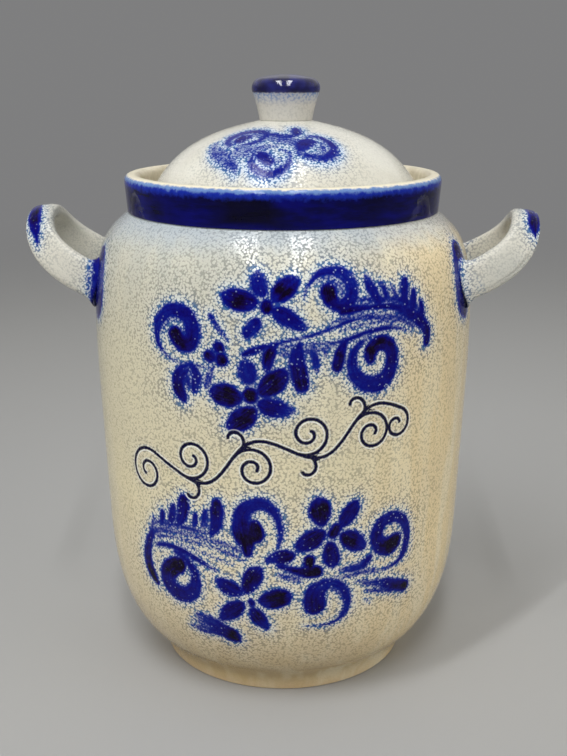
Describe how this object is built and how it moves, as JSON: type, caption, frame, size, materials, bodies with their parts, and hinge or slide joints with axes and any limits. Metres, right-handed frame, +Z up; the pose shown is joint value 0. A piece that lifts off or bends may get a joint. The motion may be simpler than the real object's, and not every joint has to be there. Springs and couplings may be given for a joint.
{
  "type": "rumtopf pot",
  "caption": "Tall salt-glazed stoneware preserving pot with two upswept strap handles, a blue collar and a domed knob lid that drops into its rim.",
  "frame": {"origin": "centre of the foot's flat underside, on the surface that the pot stands on", "axes": "+Z up along the pot's axis, +X towards the right handle, -Y towards the painted front"},
  "size_m": [0.2843, 0.212, 0.3329],
  "materials": {
    "salt_glaze": "glossy",
    "lid_glaze": "glossy",
    "knob_glaze": "glossy"
  },
  "bodies": {
    "pot": {"pot_body": "salt_glaze", "handle_left": "salt_glaze", "handle_right": "salt_glaze"},
    "lid": {"lid_shell": "lid_glaze", "lid_knob": "knob_glaze"}
  },
  "joints": [
    {"name": "lid_lift", "type": "slide", "parent": "pot", "child": "lid", "axis": [0, 0, 1], "range_m": [0, 0.12]}
  ]
}
